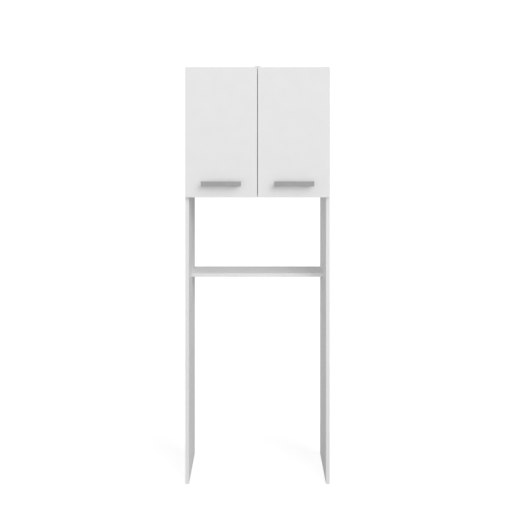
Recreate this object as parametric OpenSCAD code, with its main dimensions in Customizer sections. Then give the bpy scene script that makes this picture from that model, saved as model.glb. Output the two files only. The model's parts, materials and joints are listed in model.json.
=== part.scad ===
// Over the toilet storage rack: two full height side boards, a two-door
// cabinet at the top, one shallow open shelf and an open bay below it.
// Front faces -Y, up is +Z, and the origin is on the floor, at the centre
// of the box that the closed rack fills.

/* [Boards] */
// Width over the outer faces of the two side boards
overall_width = 600; // [500:5:720]
// Height of the side boards, without the floor glides
side_height = 1733; // [1440:1:2080]
// Depth of the side boards, with their front edging
side_depth = 235; // [196:1:300]
// Thickness of the sides, shelves, cabinet top and cabinet bottom
board_t = 15; // [14:0.5:19]
// Thickness of the edging strips on cut edges
edging_t = 0.8; // [0.4:0.1:2]
// Thickness of the cabinet's back panel
back_t = 3; // [2.5:0.1:4]

/* [Cabinet] */
// Height of the cabinet, from its underside to the top of the sides
cabinet_height = 540; // [440:1:650]
// Height of the inner shelf's top face above the cabinet's floor
inner_shelf_rise = 263; // [180:1:320]
// How far the inner shelf's front stays behind the sides' front edges
inner_shelf_setback = 15; // [10:1:40]
// Side clearance of the inner shelf, each end
inner_shelf_clearance = 1; // [0.5:0.1:2]
// How far the back panel's edges stay inside the cabinet's outline
back_inset = 2; // [0:0.5:4]

/* [Open shelf] */
// Height of the open shelf's top face above the floor
open_shelf_height = 852; // [600:1:880]
// Depth of the open shelf, with its front edging
open_shelf_depth = 126; // [100:1:190]

/* [Doors] */
// Thickness of the doors
door_t = 15; // [14:0.5:19]
// Strip of the side's front edge left uncovered beside a door
door_side_reveal = 1.25; // [1:0.05:1.4]
// Strip left uncovered above and below a door
door_end_reveal = 1; // [0.5:0.1:3]
// Gap between the two doors
door_middle_gap = 2.5; // [2:0.1:5]

/* [Handles] */
// Length of a handle's bar
handle_length = 164; // [150:1:200]
// Height of a handle's bar
handle_bar_h = 20; // [14:1:26]
// Thickness of a handle's bar
handle_bar_t = 6; // [4:0.5:9]
// How far a handle stands out from its door
handle_reach = 26; // [22:1:36]
// Distance between a handle's two screws
handle_hole_spacing = 128; // [96:1:128]
// Width of a handle's square feet
handle_foot_w = 12; // [10:1:16]
// Height of a handle's middle above its door's lower edge
handle_rise = 58; // [30:1:200]
// Diameter of a handle screw
handle_screw_d = 4; // [3:0.5:5]
// Length of thread inside a handle's foot
handle_thread_l = 9; // [6:0.5:12]

/* [Hinges] */
// Height of a hinge
hinge_h = 50; // [40:1:64]
// Thickness of a hinge leaf
leaf_t = 1.2; // [1:0.1:1.5]
// Gap between the two leaves of a closed hinge
leaf_gap = 0.1; // [0.1:0.05:0.3]
// Outer diameter of a hinge's knuckle
knuckle_d = 4; // [3.6:0.1:4.4]
// Diameter of a hinge pin
hinge_pin_d = 2; // [1.6:0.1:2.2]
// Distance from the side's outer face in to the hinge axis
hinge_axis_inset = 1.5; // [1.4:0.05:1.6]
// Distance from a door's upper or lower edge to the middle of its hinge
hinge_end_distance = 100; // [60:1:140]
// Length of the hinge wing along the side's inner face
wing_length = 28; // [24:1:36]
// Length of the door's leaf from the hinge axis
door_leaf_length = 34; // [32:1:44]
// Diameter of the hinge screws
hinge_screw_d = 3; // [2.5:0.1:3.5]
// Length of the hinge screws
hinge_screw_l = 12; // [9:0.5:12.5]

/* [Wall bracket] */
// Width of the wall bracket
bracket_w = 28; // [24:1:40]
// Length of the bracket's leg on the cabinet top
bracket_foot_l = 40; // [34:1:60]
// Height of the bracket's leg above the cabinet top
bracket_rise = 27; // [22:1:45]
// Thickness of the bracket's steel
bracket_t = 2; // [1.5:0.1:3]
// Diameter of the hole for the wall screw
wall_hole_d = 5.5; // [4:0.1:7]

/* [Small fittings] */
// Height of the floor glides
glide_h = 3; // [2:0.5:6]
// Diameter of the floor glides
glide_d = 14; // [10:0.5:14]
// Distance from a panel's end to the middle of a cam lock
cam_inset = 34; // [24:1:40]
// Diameter of a cam lock
cam_d = 14.8; // [14:0.1:15]
// Diameter of a wooden dowel
dowel_d = 8; // [6:0.5:8]
// Length of a wooden dowel
dowel_l = 30; // [25:1:34]
// Diameter of a shelf pin
shelf_pin_d = 5; // [4:0.5:7]
// Distance between two rows of shelf pin holes
pin_row_pitch = 64; // [32:32:64]
// Thickness of the steel plates that the catches hold
strike_t = 1; // [0.8:0.1:1.2]

/* [Hidden] */
$fn = 48;

// Colours
white_board = [0.93, 0.93, 0.92];
white_strip = [0.95, 0.95, 0.94];
white_plastic = [0.9, 0.9, 0.89];
hardboard = [0.86, 0.85, 0.82];
grey_metal = [0.6, 0.6, 0.61];
steel = [0.72, 0.73, 0.74];
zinc = [0.66, 0.67, 0.68];
beech = [0.82, 0.68, 0.5];
dark_magnet = [0.22, 0.22, 0.23];
clear_rubber = [0.8, 0.82, 0.82];

// Clearances
eps = 0.5;                 // how far a cut runs past a surface
screw_clear = 0.1;         // on the diameter, around a screw, nail or dowel
pin_clear = 0.1;           // on the diameter, of a hinge pin in its knuckle
knuckle_clear = 0.3;       // around a knuckle, in the boards and the other leaf
touch_clear = 0.1;         // between a door's fittings and what they meet
cam_clear = 0.2;           // on the diameter, of a cam lock in its pocket

// Planes across the depth
door_gap = 2 * leaf_t + leaf_gap;
total_depth = side_depth + back_t + door_gap + door_t + handle_reach;
y_rear = total_depth / 2;
y_board_rear = y_rear - back_t;
y_board_front = y_board_rear - side_depth;
y_door_back = y_board_front - door_gap;
y_door_front = y_door_back - door_t;
y_handle_front = y_door_front - handle_reach;
y_hinge_axis = y_board_front - door_gap / 2;
y_open_front = y_board_rear - open_shelf_depth;
y_inner_front = y_board_front + inner_shelf_setback;
y_inner_rear = y_board_rear - inner_shelf_clearance;

// Planes across the width
x_out = overall_width / 2;
x_in = x_out - board_t;
x_hinge_axis = x_out - hinge_axis_inset;
x_door_outer = x_out - door_side_reveal;
x_door_inner = door_middle_gap / 2;
x_door_middle = (x_door_outer + x_door_inner) / 2;

// Planes across the height
z_side_top = glide_h + side_height;
z_cabinet_bottom = z_side_top - cabinet_height;
z_cabinet_floor = z_cabinet_bottom + board_t;
z_ceiling = z_side_top - board_t;
z_inner_top = z_cabinet_floor + inner_shelf_rise;
z_open_top = open_shelf_height;
z_door_bottom = z_cabinet_bottom + door_end_reveal;
z_door_top = z_side_top - door_end_reveal;
z_handle = z_door_bottom + handle_rise;
z_hinges = [z_door_bottom + hinge_end_distance, z_door_top - hinge_end_distance];
z_pin = z_inner_top - board_t - shelf_pin_d / 2;

// Fixed boards between the sides: [front plane, lower face, side that the cams open to]
top_board = [y_board_front, z_ceiling, 1];
bottom_board = [y_board_front, z_cabinet_bottom, 1];
open_board = [y_open_front, z_open_top - board_t, -1];
fixed_boards = [top_board, bottom_board, open_board];

// Joint hardware along a board's end
cam_end_distance = 32;     // from a board's front or rear edge to the cam's middle
dowel_step = 31;           // from a cam to the dowel beside it
bolt_thread_l = 11;
bolt_thread_d = 5;
bolt_shaft_d = 6;
bolt_neck_d = 4;
bolt_head_d = 6.6;
bolt_head_l = 3.4;
bolt_bore_d = 8;
cam_below_axis = 4.9;      // how far a cam reaches past the bolt's axis
cam_slot_w = 7.4;
cap_d = 17;
cap_t = 1.2;
cap_stem_d = 4.8;
cap_stem_l = 1.6;
dowel_in_side = 10;
dowel_chamfer = 0.8;

// Nails, screws and pins
nail_d = 1.6;
nail_l = 20;
nail_head_d = 3.4;
nail_head_t = 0.7;
nail_pitch = 100;          // about this far apart
glide_end_distance = 25;
glide_recess_d = 6;
glide_nail_d = 2;
glide_nail_l = 14;
pin_in_side = 8.5;
pin_out = 9;
pin_end_distance = 50;
pin_hole_slack = 0.5;
pan_head_d = 5.6;
pan_head_h = 1.4;
screw_tip_l = 1.6;
handle_head_d = 8;
handle_head_h = 2.2;
hinge_pin_head_d = 3.4;
hinge_pin_head_h = 0.7;
bracket_screw_d = 3.5;
bracket_screw_l = 12;
bracket_corner_r = 5;

// Magnetic catch under the cabinet top, one magnet for each door
catch_w = 44;
catch_d = 14;
catch_h = 12;
catch_ear_w = 62;
catch_ear_h = 3;
catch_screw_x = 26.5;
magnet_x = 12;
magnet_w = 13.6;
magnet_h = 6.6;
magnet_l = 10;
magnet_pocket_clear = 0.4;
strike_w = 16;
strike_h = 24;
strike_top_gap = 1.5;
strike_screw_drop = 17.5;
buffer_d = 9;
buffer_inset = 13;

function cam_ys(front) = [front + cam_end_distance, y_board_rear - cam_end_distance];
// Two dowels on a deep board, one in the middle of a shallow one
function dowel_ys(front) =
    let (first = front + cam_end_distance + dowel_step,
         last = y_board_rear - cam_end_distance - dowel_step)
    last - first > 2 * dowel_d ? [first, last] : [(first + last) / 2];
function spread(low, high, pitch) =
    let (count = max(1, round((high - low) / pitch)))
    [for (i = [0 : count]) low + (high - low) * i / count];

side_nail_zs = spread(z_cabinet_bottom + 50, z_side_top - 50, nail_pitch);
board_nail_xs = spread(-x_in + 45, x_in - 45, nail_pitch);
pin_ys = [y_board_front + pin_end_distance, y_board_rear - pin_end_distance];
pin_row_zs = [z_pin - pin_row_pitch, z_pin, z_pin + pin_row_pitch];
glide_ys = [y_board_front + glide_end_distance, y_board_rear - glide_end_distance];
leaf_screws = [[0, -17], [1, 0], [0, 17]];   // [near or far row, height]
wing_rows = [9, 20];                         // behind the side's front edge
door_leaf_rows = [20.5, 28.5];               // from the hinge axis

// ---- shared shapes ----

// A block given by two opposite corners
module block(low, high) {
    translate(low) cube(high - low);
}

// A round bar along +X, starting at x
module bar_x(x, length, d) {
    translate([x, 0, 0]) rotate([0, 90, 0]) cylinder(h = length, d = d);
}

// A round bar along +Y, starting at y
module bar_y(y, length, d) {
    translate([0, y, 0]) rotate([-90, 0, 0]) cylinder(h = length, d = d);
}

// Wood screw along -Z, its head standing on z = 0
module screw(d, length, head_d, head_h) {
    cylinder(h = head_h * 0.5, d = head_d);
    translate([0, 0, head_h * 0.5]) cylinder(h = head_h * 0.5, d1 = head_d, d2 = head_d * 0.7);
    translate([0, 0, screw_tip_l - length]) cylinder(h = length - screw_tip_l, d = d);
    translate([0, 0, -length]) cylinder(h = screw_tip_l, d1 = d * 0.3, d2 = d);
}

// Children on both sides, drawn for the right and mirrored for the left
module both_sides() {
    children();
    mirror([1, 0, 0]) children();
}

// Children at a fixed board's two ends: the origin is on the side's inner face,
// +X runs into the board and +Z points to the face that the cams open to
module at_board_ends(board, ys) {
    for (y = ys) {
        both_sides() {
            translate([x_in, y, board[1] + board_t / 2])
                mirror([1, 0, 0])
                    mirror([0, 0, board[2] < 0 ? 1 : 0]) children();
        }
    }
}

// Children at both hinges of the left side: the origin is on the hinge axis at
// the hinge's middle, +X runs in towards the cabinet's middle
module at_left_hinges() {
    for (z = z_hinges) {
        translate([-x_hinge_axis, y_hinge_axis, z]) children();
    }
}

// Room that both hinges of the left side need in the boards around their knuckles
module left_knuckle_room() {
    room_h = hinge_h + 2 * (hinge_pin_head_h + knuckle_clear);
    at_left_hinges() {
        translate([0, 0, -room_h / 2]) cylinder(h = room_h, d = knuckle_d + 2 * knuckle_clear);
    }
}

// ---- boards ----

// Left side board: drilled for the boards, shelf pins, hinges, nails and glides
module left_side() {
    color(white_board) difference() {
        block([-x_out, y_board_front + edging_t, glide_h], [-x_in, y_board_rear, z_side_top]);
        for (board = fixed_boards) {
            at_board_ends(board, cam_ys(board[0]))
                bar_x(-bolt_thread_l - eps, bolt_thread_l + 2 * eps, bolt_thread_d + screw_clear);
            at_board_ends(board, dowel_ys(board[0]))
                bar_x(-dowel_in_side - eps, dowel_in_side + 2 * eps, dowel_d + screw_clear);
        }
        for (y = pin_ys, z = pin_row_zs) {
            translate([-x_in, y, z])
                bar_x(-pin_in_side - pin_hole_slack, pin_in_side + pin_hole_slack + eps,
                      shelf_pin_d + screw_clear);
        }
        for (z = side_nail_zs) {
            translate([-x_out + board_t / 2, y_board_rear + eps, z])
                bar_y(-nail_l - eps, nail_l + eps, nail_d + screw_clear);
        }
        for (y = glide_ys) {
            translate([-x_out + board_t / 2, y, glide_h - eps])
                cylinder(h = glide_nail_l + eps, d = glide_nail_d + screw_clear);
        }
        at_left_hinges() wing_screw_places()
            translate([0, 0, -hinge_screw_l - eps])
                cylinder(h = hinge_screw_l + eps, d = hinge_screw_d + screw_clear);
        left_knuckle_room();
    }
}

// Right side board, the left one's mirror image
module right_side() {
    mirror([1, 0, 0]) left_side();
}

// Edging strips on the sides' front edges
module side_edging() {
    color(white_strip) both_sides() {
        difference() {
            block([-x_out, y_board_front, glide_h],
                  [-x_in, y_board_front + edging_t, z_side_top]);
            left_knuckle_room();
        }
    }
}

// A board between the sides, with cam pockets, bolt bores and dowel holes
module fixed_board(board) {
    pocket_h = cam_below_axis + cam_clear + board_t / 2;
    difference() {
        block([-x_in, board[0] + edging_t, board[1]], [x_in, y_board_rear, board[1] + board_t]);
        at_board_ends(board, cam_ys(board[0])) {
            bar_x(-eps, cam_inset + eps, bolt_bore_d);
            translate([cam_inset, 0, -cam_below_axis - cam_clear])
                cylinder(h = pocket_h + eps, d = cam_d + cam_clear);
        }
        at_board_ends(board, dowel_ys(board[0]))
            bar_x(-eps, dowel_l - dowel_in_side + 2 * eps, dowel_d + screw_clear);
    }
}

// Nail holes in the rear edge of a cabinet board whose lower face is at z
module board_nail_holes(z) {
    for (x = board_nail_xs) {
        translate([x, y_board_rear + eps, z + board_t / 2])
            bar_y(-nail_l - eps, nail_l + eps, nail_d + screw_clear);
    }
}

// Top board of the cabinet, also drilled for the wall bracket and the catch
module cabinet_top() {
    color(white_board) difference() {
        fixed_board(top_board);
        board_nail_holes(z_ceiling);
        bracket_screw_places()
            translate([0, 0, -bracket_screw_l - bracket_t])
                cylinder(h = bracket_screw_l + bracket_t, d = bracket_screw_d + screw_clear);
        catch_screw_places()
            translate([0, 0, -hinge_screw_l - eps])
                cylinder(h = hinge_screw_l + eps, d = hinge_screw_d + screw_clear);
    }
}

// Bottom board of the cabinet
module cabinet_bottom() {
    color(white_board) difference() {
        fixed_board(bottom_board);
        board_nail_holes(z_cabinet_bottom);
    }
}

// Loose shelf inside the cabinet, resting on four pins
module inner_shelf() {
    half_w = x_in - inner_shelf_clearance;
    color(white_board)
        block([-half_w, y_inner_front + edging_t, z_inner_top - board_t],
              [half_w, y_inner_rear, z_inner_top]);
}

// Shallow open shelf, flush with the sides' rear edges
module open_shelf() {
    color(white_board) fixed_board(open_board);
}

// Edging strips on the front edges of the top, the bottom and both shelves
module shelf_edging() {
    half_w = x_in - inner_shelf_clearance;
    color(white_strip) {
        for (board = fixed_boards) {
            block([-x_in, board[0], board[1]], [x_in, board[0] + edging_t, board[1] + board_t]);
        }
        block([-half_w, y_inner_front, z_inner_top - board_t],
              [half_w, y_inner_front + edging_t, z_inner_top]);
    }
}

// Children at every back panel nail: the origin is at the panel's rear face
module at_back_nails() {
    for (z = side_nail_zs, x = [-x_out + board_t / 2, x_out - board_t / 2]) {
        translate([x, y_rear, z]) children();
    }
    for (x = board_nail_xs, z = [z_ceiling, z_cabinet_bottom]) {
        translate([x, y_rear, z + board_t / 2]) children();
    }
}

// Thin back panel, nailed on behind the cabinet
module back_panel() {
    color(hardboard) difference() {
        block([-x_out + back_inset, y_board_rear, z_cabinet_bottom + back_inset],
              [x_out - back_inset, y_rear, z_side_top - back_inset]);
        at_back_nails() {
            bar_y(-back_t - eps, back_t + 2 * eps, nail_d + screw_clear);
            bar_y(-nail_head_t, nail_head_t + eps, nail_head_d + screw_clear);
        }
    }
}

// Nails of the back panel, their heads flush with it
module back_panel_nails() {
    color(zinc) at_back_nails() {
        bar_y(-nail_l, nail_l - nail_head_t / 2, nail_d);
        bar_y(-nail_head_t, nail_head_t, nail_head_d);
    }
}

// ---- joint hardware ----

// Cam locks, turned over the heads of the cam bolts
module cam_locks() {
    color(zinc) for (board = fixed_boards) {
        at_board_ends(board, cam_ys(board[0])) {
            translate([cam_inset, 0, 0]) difference() {
                translate([0, 0, -cam_below_axis])
                    cylinder(h = cam_below_axis + board_t / 2, d = cam_d);
                block([-cam_d, -cam_slot_w / 2, -cam_slot_w / 2],
                      [bolt_head_l, cam_slot_w / 2, cam_slot_w / 2]);
                translate([0, 0, board_t / 2 - cap_stem_l - eps])
                    cylinder(h = cap_stem_l + 2 * eps, d = cap_stem_d + cam_clear);
            }
        }
    }
}

// Cam bolts, screwed into the sides
module cam_bolts() {
    color(steel) for (board = fixed_boards) {
        at_board_ends(board, cam_ys(board[0])) {
            bar_x(-bolt_thread_l, bolt_thread_l, bolt_thread_d);
            bar_x(0, cam_inset - cam_d / 2, bolt_shaft_d);
            bar_x(0, cam_inset, bolt_neck_d);
            bar_x(cam_inset - bolt_head_l / 2, bolt_head_l, bolt_head_d);
        }
    }
}

// Cover caps over the cam locks
module cam_caps() {
    color(white_plastic) for (board = fixed_boards) {
        at_board_ends(board, cam_ys(board[0])) {
            translate([cam_inset, 0, board_t / 2]) {
                cylinder(h = cap_t / 2, d = cap_d);
                translate([0, 0, cap_t / 2]) cylinder(h = cap_t / 2, d1 = cap_d, d2 = cap_d - cap_t);
                translate([0, 0, -cap_stem_l]) cylinder(h = cap_stem_l + cap_t / 2, d = cap_stem_d);
            }
        }
    }
}

// Wooden dowels between the boards and the sides
module wooden_dowels() {
    color(beech) for (board = fixed_boards) {
        at_board_ends(board, dowel_ys(board[0])) {
            translate([-dowel_in_side, 0, 0]) rotate([0, 90, 0]) {
                cylinder(h = dowel_chamfer, d1 = dowel_d - 2 * dowel_chamfer, d2 = dowel_d);
                translate([0, 0, dowel_chamfer])
                    cylinder(h = dowel_l - 2 * dowel_chamfer, d = dowel_d);
                translate([0, 0, dowel_l - dowel_chamfer])
                    cylinder(h = dowel_chamfer, d1 = dowel_d, d2 = dowel_d - 2 * dowel_chamfer);
            }
        }
    }
}

// Shelf pins that carry the inner shelf
module shelf_pins() {
    color(steel) both_sides() {
        for (y = pin_ys) {
            translate([-x_in, y, z_pin]) bar_x(-pin_in_side, pin_in_side + pin_out, shelf_pin_d);
        }
    }
}

// Children at the middle of every floor glide's lower face
module at_glides() {
    both_sides() {
        for (y = glide_ys) {
            translate([-x_out + board_t / 2, y, 0]) children();
        }
    }
}

// Floor glides under the sides
module floor_glides() {
    color(white_plastic) at_glides() {
        difference() {
            union() {
                cylinder(h = glide_h / 2, d1 = glide_d - glide_h / 2, d2 = glide_d);
                translate([0, 0, glide_h / 2]) cylinder(h = glide_h / 2, d = glide_d);
            }
            translate([0, 0, -eps])
                cylinder(h = glide_h + 2 * eps, d = glide_nail_d + screw_clear);
            translate([0, 0, -eps]) cylinder(h = glide_h / 2 + eps, d = glide_recess_d);
        }
    }
}

// Nails of the floor glides, their heads up inside the recess
module glide_nails() {
    color(zinc) at_glides() {
        translate([0, 0, glide_h / 2]) cylinder(h = glide_h / 2 + glide_nail_l - 1, d = glide_nail_d);
        translate([0, 0, glide_h / 4]) cylinder(h = glide_h / 4, d = glide_recess_d - 2);
    }
}

// ---- wall bracket ----

// Children at the bracket's two foot screws: the origin is on the foot's upper face
module bracket_screw_places() {
    for (x = [-bracket_w / 4, bracket_w / 4]) {
        translate([x, y_rear - bracket_foot_l * 0.62, z_side_top + bracket_t]) children();
    }
}

// Height of the middle of the hole for the wall screw
z_wall_hole = z_side_top + bracket_rise * 0.56;

// Steel angle that ties the rack to the wall
module wall_bracket() {
    r = bracket_corner_r;
    color(white_strip) difference() {
        union() {
            // foot on the cabinet top, with rounded front corners
            block([-bracket_w / 2, y_rear - bracket_foot_l + r, z_side_top],
                  [bracket_w / 2, y_rear, z_side_top + bracket_t]);
            block([-bracket_w / 2 + r, y_rear - bracket_foot_l, z_side_top],
                  [bracket_w / 2 - r, y_rear, z_side_top + bracket_t]);
            for (x = [r - bracket_w / 2, bracket_w / 2 - r]) {
                translate([x, y_rear - bracket_foot_l + r, z_side_top])
                    cylinder(h = bracket_t, r = r);
            }
            // upright against the wall, with rounded upper corners
            block([-bracket_w / 2, y_rear - bracket_t, z_side_top],
                  [bracket_w / 2, y_rear, z_side_top + bracket_rise - r]);
            block([-bracket_w / 2 + r, y_rear - bracket_t, z_side_top],
                  [bracket_w / 2 - r, y_rear, z_side_top + bracket_rise]);
            for (x = [r - bracket_w / 2, bracket_w / 2 - r]) {
                translate([x, y_rear, z_side_top + bracket_rise - r])
                    bar_y(-bracket_t, bracket_t, 2 * r);
            }
        }
        translate([0, y_rear, z_wall_hole])
            bar_y(-bracket_t - eps, bracket_t + 2 * eps, wall_hole_d);
        bracket_screw_places()
            translate([0, 0, -bracket_t - eps])
                cylinder(h = bracket_t + 2 * eps, d = bracket_screw_d + screw_clear);
    }
}

// Screws that hold the bracket on the cabinet top
module bracket_screws() {
    color(steel) bracket_screw_places()
        screw(bracket_screw_d, bracket_screw_l, pan_head_d + 1, pan_head_h);
}

// ---- magnetic catch ----

// Children at the catch's two screws: the origin is under its ears, +Z points down
module catch_screw_places() {
    for (x = [-catch_screw_x, catch_screw_x]) {
        translate([x, y_board_front + catch_d / 2, z_ceiling - catch_ear_h])
            mirror([0, 0, 1]) children();
    }
}

// Housing of the double magnetic catch, under the cabinet top
module magnetic_catch() {
    pocket = magnet_pocket_clear / 2;
    z_magnet = z_ceiling - catch_h / 2 - 1;
    color(white_plastic) difference() {
        union() {
            block([-catch_w / 2, y_board_front, z_ceiling - catch_h],
                  [catch_w / 2, y_board_front + catch_d, z_ceiling]);
            block([-catch_ear_w / 2, y_board_front, z_ceiling - catch_ear_h],
                  [catch_ear_w / 2, y_board_front + catch_d, z_ceiling]);
        }
        for (x = [-magnet_x, magnet_x]) {
            block([x - magnet_w / 2 - pocket, y_board_front - eps, z_magnet - magnet_h / 2 - pocket],
                  [x + magnet_w / 2 + pocket, y_board_front + magnet_l,
                   z_magnet + magnet_h / 2 + pocket]);
        }
        catch_screw_places()
            translate([0, 0, -catch_ear_h - eps])
                cylinder(h = catch_ear_h + 2 * eps, d = hinge_screw_d + screw_clear);
    }
}

// The catch's magnets, standing a little proud to meet the doors' plates
module catch_magnets() {
    z_magnet = z_ceiling - catch_h / 2 - 1;
    y_face = y_door_back + strike_t + touch_clear;
    color(dark_magnet) for (x = [-magnet_x, magnet_x]) {
        block([x - magnet_w / 2, y_face, z_magnet - magnet_h / 2],
              [x + magnet_w / 2, y_board_front + magnet_l, z_magnet + magnet_h / 2]);
    }
}

// Screws of the magnetic catch
module catch_screws() {
    color(steel) catch_screw_places()
        screw(hinge_screw_d, hinge_screw_l, pan_head_d, pan_head_h);
}

// ---- hinges ----

knuckle_h = (hinge_h - 2 * touch_clear) / 3;
wing_x = board_t - hinge_axis_inset;         // from the axis to the side's inner face
leaf_cut = knuckle_d / 2 + knuckle_clear;    // where a leaf starts beside the other's knuckle
leaf_root = hinge_pin_d / 2 + pin_clear;     // where a leaf starts in its own knuckle

// Children at a hinge's cabinet screws: the origin is on the wing, +Z points inwards
module wing_screw_places() {
    for (place = leaf_screws) {
        translate([wing_x + leaf_t, door_gap / 2 + wing_rows[place[0]], place[1]])
            rotate([0, 90, 0]) children();
    }
}

// Children at a hinge's door screws: the origin is on the leaf, +Z points into the cabinet
module door_leaf_screw_places() {
    for (place = leaf_screws) {
        translate([door_leaf_rows[place[0]], -leaf_gap / 2, place[1]])
            rotate([-90, 0, 0]) children();
    }
}

// One knuckle around the hinge axis, from z upwards
module knuckle(z) {
    translate([0, 0, z]) cylinder(h = knuckle_h, d = knuckle_d);
}

// Cabinet leaf: wraps round the side's front edge, with the outer two knuckles
module cabinet_leaf() {
    difference() {
        union() {
            for (z = [-hinge_h / 2, hinge_h / 2 - knuckle_h]) {
                knuckle(z);
                block([leaf_root, leaf_gap / 2, z],
                      [wing_x + leaf_t, leaf_gap / 2 + leaf_t, z + knuckle_h]);
            }
            block([leaf_cut, leaf_gap / 2, -hinge_h / 2],
                  [wing_x + leaf_t, leaf_gap / 2 + leaf_t, hinge_h / 2]);
            block([wing_x, leaf_gap / 2, -hinge_h / 2],
                  [wing_x + leaf_t, door_gap / 2 + wing_length, hinge_h / 2]);
        }
        translate([0, 0, -hinge_h / 2 - eps])
            cylinder(h = hinge_h + 2 * eps, d = hinge_pin_d + pin_clear);
        wing_screw_places() translate([0, 0, -leaf_t - eps])
            cylinder(h = leaf_t + 2 * eps, d = hinge_screw_d + screw_clear);
    }
}

// Door leaf: flat on the door's rear face, with the middle knuckle
module door_leaf() {
    difference() {
        union() {
            knuckle(-knuckle_h / 2);
            block([leaf_root, -leaf_gap / 2 - leaf_t, -knuckle_h / 2],
                  [door_leaf_length, -leaf_gap / 2, knuckle_h / 2]);
            block([leaf_cut, -leaf_gap / 2 - leaf_t, -hinge_h / 2],
                  [door_leaf_length, -leaf_gap / 2, hinge_h / 2]);
        }
        translate([0, 0, -hinge_h / 2])
            cylinder(h = hinge_h, d = hinge_pin_d + pin_clear);
        door_leaf_screw_places() translate([0, 0, -leaf_t - eps])
            cylinder(h = leaf_t + 2 * eps, d = hinge_screw_d + screw_clear);
    }
}

// Cabinet leaves of the left door's hinges
module left_cabinet_leaves() {
    color(steel) at_left_hinges() cabinet_leaf();
}

// Pins of the left door's hinges, each hanging by its head
module left_hinge_pins() {
    color(steel) at_left_hinges() {
        translate([0, 0, -hinge_h / 2]) cylinder(h = hinge_h, d = hinge_pin_d);
        translate([0, 0, hinge_h / 2]) cylinder(h = hinge_pin_head_h, d = hinge_pin_head_d);
    }
}

// Screws that hold the left cabinet leaves on the left side
module left_cabinet_leaf_screws() {
    color(steel) at_left_hinges() wing_screw_places()
        screw(hinge_screw_d, hinge_screw_l, pan_head_d, pan_head_h);
}

// Cabinet leaves of the right door's hinges
module right_cabinet_leaves() {
    mirror([1, 0, 0]) left_cabinet_leaves();
}

// Pins of the right door's hinges
module right_hinge_pins() {
    mirror([1, 0, 0]) left_hinge_pins();
}

// Screws that hold the right cabinet leaves on the right side
module right_cabinet_leaf_screws() {
    mirror([1, 0, 0]) left_cabinet_leaf_screws();
}

// ---- doors ----

// Children at the left handle's two screws: the origin is on the door's rear face
module at_left_handle_screws() {
    for (x = [-handle_hole_spacing / 2, handle_hole_spacing / 2]) {
        translate([x - x_door_middle, y_door_back, z_handle]) children();
    }
}

// Left door panel, drilled for its handle, hinges and strike plate
module left_door() {
    color(white_board) difference() {
        block([edging_t - x_door_outer, y_door_front, z_door_bottom + edging_t],
              [-x_door_inner - edging_t, y_door_back, z_door_top - edging_t]);
        at_left_handle_screws()
            bar_y(-door_t - eps, door_t + 2 * eps, handle_screw_d + screw_clear);
        at_left_hinges() door_leaf_screw_places()
            translate([0, 0, -hinge_screw_l - eps])
                cylinder(h = hinge_screw_l + eps, d = hinge_screw_d + screw_clear);
        left_strike_screw_place()
            translate([0, 0, -hinge_screw_l - eps])
                cylinder(h = hinge_screw_l + eps, d = hinge_screw_d + screw_clear);
        left_knuckle_room();
    }
}

// Edging strip all round the left door
module left_door_edging() {
    color(white_strip) difference() {
        block([-x_door_outer, y_door_front, z_door_bottom], [-x_door_inner, y_door_back, z_door_top]);
        block([edging_t - x_door_outer, y_door_front - eps, z_door_bottom + edging_t],
              [-x_door_inner - edging_t, y_door_back + eps, z_door_top - edging_t]);
        left_knuckle_room();
    }
}

// Left handle: a flat bar on two square feet, tapped for its screws
module left_handle() {
    color(grey_metal) difference() {
        union() {
            block([-handle_length / 2 - x_door_middle, y_handle_front, z_handle - handle_bar_h / 2],
                  [handle_length / 2 - x_door_middle, y_handle_front + handle_bar_t,
                   z_handle + handle_bar_h / 2]);
            at_left_handle_screws()
                block([-handle_foot_w / 2, -door_t - handle_reach + handle_bar_t / 2,
                       -handle_foot_w / 2],
                      [handle_foot_w / 2, -door_t, handle_foot_w / 2]);
        }
        at_left_handle_screws()
            bar_y(-door_t - handle_thread_l - eps, handle_thread_l + 2 * eps,
                  handle_screw_d + screw_clear);
    }
}

// Screws of the left handle, from inside the door
module left_handle_screws() {
    color(steel) at_left_handle_screws() {
        bar_y(-door_t - handle_thread_l, door_t + handle_thread_l, handle_screw_d);
        bar_y(0, handle_head_h, handle_head_d);
    }
}

// Door leaves of the left door's hinges
module left_door_leaves() {
    color(steel) at_left_hinges() door_leaf();
}

// Screws that hold the left door leaves on the left door
module left_door_leaf_screws() {
    color(steel) at_left_hinges() door_leaf_screw_places()
        screw(hinge_screw_d, hinge_screw_l, pan_head_d, pan_head_h);
}

// Soft buffer at the left door's lower free corner
module left_door_buffer() {
    color(clear_rubber)
        translate([-x_door_inner - buffer_inset, y_door_back, z_cabinet_bottom + board_t / 2])
            bar_y(0, door_gap - touch_clear, buffer_d);
}

// Child at the left strike plate's screw: the origin is on the plate's rear face
module left_strike_screw_place() {
    translate([-magnet_x, y_door_back + strike_t, z_ceiling - strike_top_gap - strike_screw_drop])
        rotate([-90, 0, 0]) children();
}

// Steel plate on the left door that the catch's magnet holds
module left_strike_plate() {
    z_top = z_ceiling - strike_top_gap;
    color(steel) difference() {
        block([-magnet_x - strike_w / 2, y_door_back, z_top - strike_h],
              [-magnet_x + strike_w / 2, y_door_back + strike_t, z_top]);
        left_strike_screw_place()
            translate([0, 0, -strike_t - eps])
                cylinder(h = strike_t + 2 * eps, d = hinge_screw_d + screw_clear);
    }
}

// Screw of the left strike plate
module left_strike_screw() {
    color(steel) left_strike_screw_place()
        screw(hinge_screw_d, hinge_screw_l, pan_head_d, pan_head_h);
}

// Right door panel
module right_door() {
    mirror([1, 0, 0]) left_door();
}

// Edging strip all round the right door
module right_door_edging() {
    mirror([1, 0, 0]) left_door_edging();
}

// Right handle
module right_handle() {
    mirror([1, 0, 0]) left_handle();
}

// Screws of the right handle
module right_handle_screws() {
    mirror([1, 0, 0]) left_handle_screws();
}

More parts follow.
